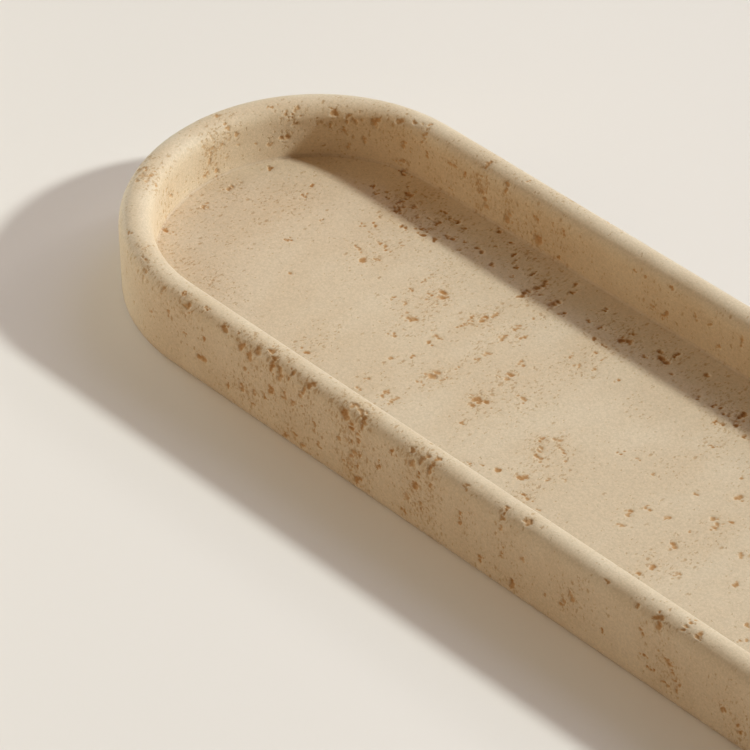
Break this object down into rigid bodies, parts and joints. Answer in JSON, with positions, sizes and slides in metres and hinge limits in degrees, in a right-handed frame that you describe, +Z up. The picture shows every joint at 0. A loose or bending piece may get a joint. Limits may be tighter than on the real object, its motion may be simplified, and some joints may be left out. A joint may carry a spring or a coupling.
{
  "type": "stone tray",
  "caption": "Long pill-shaped stone tray with upright full-round walls, a flat sunken floor and rubber pads recessed in its underside.",
  "frame": {"origin": "on the surface that the tray stands on, under the centre of the tray", "axes": "+X along the tray's length, +Y across it to the rear, +Z up out of the hollow"},
  "size_m": [0.31, 0.104, 0.024],
  "materials": {
    "stone": "honed beige travertine-like stone, unfilled: brown pits in bands across the length, fine grain, matt",
    "foot_pads": "soft matt grey-brown rubber"
  },
  "bodies": {
    "root": {"tray_body": "stone", "foot_pad_front_left": "foot_pads", "foot_pad_front_middle": "foot_pads", "foot_pad_front_right": "foot_pads", "foot_pad_rear_left": "foot_pads", "foot_pad_rear_middle": "foot_pads", "foot_pad_rear_right": "foot_pads"}
  },
  "joints": []
}
